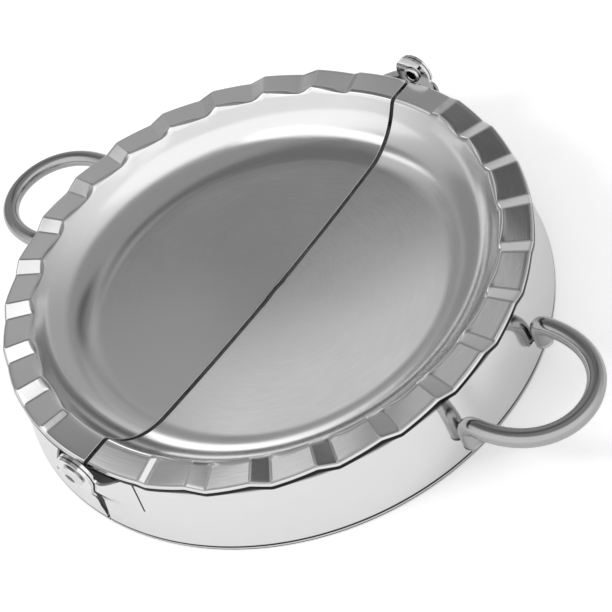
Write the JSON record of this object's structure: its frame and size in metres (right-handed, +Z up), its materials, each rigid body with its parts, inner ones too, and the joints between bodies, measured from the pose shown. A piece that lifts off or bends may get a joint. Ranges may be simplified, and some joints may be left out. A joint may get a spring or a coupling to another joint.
{
  "type": "empanada press",
  "caption": "Round hinged dough press in polished steel: a dished crimping plate and flared cutter wall in two folding halves, each with a wire loop handle.",
  "frame": {"origin": "on the table under the middle of the hinge line, with the press open flat and its cutting edges down", "axes": "+Z up out of the dish, +Y along the hinge line, +X toward the right half's handle"},
  "size_m": [0.1996, 0.1552, 0.029],
  "materials": {
    "plate_steel": "polished",
    "wall_steel": "polished",
    "wire_steel": "polished",
    "rivet_steel": "polished"
  },
  "bodies": {
    "right_half": {"right_press_plate": "plate_steel", "right_cutter_wall": "wall_steel", "right_handle": "wire_steel", "near_hinge_rivet": "rivet_steel", "far_hinge_rivet": "rivet_steel"},
    "left_half": {"left_press_plate": "plate_steel", "left_cutter_wall": "wall_steel", "left_handle": "wire_steel"}
  },
  "joints": [
    {"name": "fold", "type": "hinge", "parent": "right_half", "child": "left_half", "pos_m": [0, 0, 0.0235], "axis": [0, 1, 0], "range_deg": [0, 180]}
  ]
}
